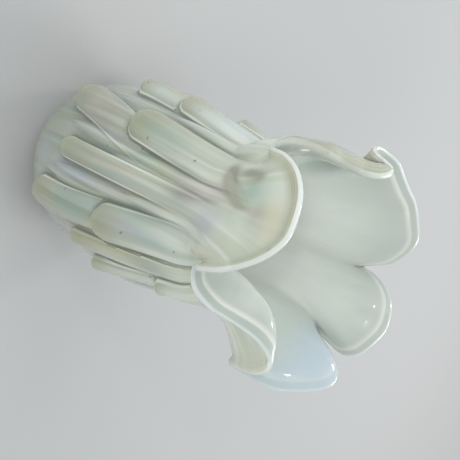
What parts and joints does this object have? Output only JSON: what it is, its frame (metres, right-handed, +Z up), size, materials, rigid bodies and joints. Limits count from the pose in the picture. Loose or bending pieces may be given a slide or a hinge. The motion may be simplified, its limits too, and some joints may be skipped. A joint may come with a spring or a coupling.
{
  "type": "ruffled glass vase",
  "caption": "Blown opal glass vase, round-shouldered body with applied tongue-shaped ribs, narrow neck and a thick ruffled lobed rim, standing on a flat ground foot.",
  "frame": {"origin": "centre of the flat foot, on the surface that the vase stands on", "axes": "+Z up along the vase's axis out of its mouth, -Y towards the tall front lobe of the rim, +X to the right seen from the front"},
  "size_m": [0.0995, 0.0967, 0.1755],
  "materials": {
    "opal_glass": "glossy milky opal glass cased in clear, with a pale mother-of-pearl iridescence"
  },
  "bodies": {
    "root": {"vase": "opal_glass"}
  },
  "joints": []
}
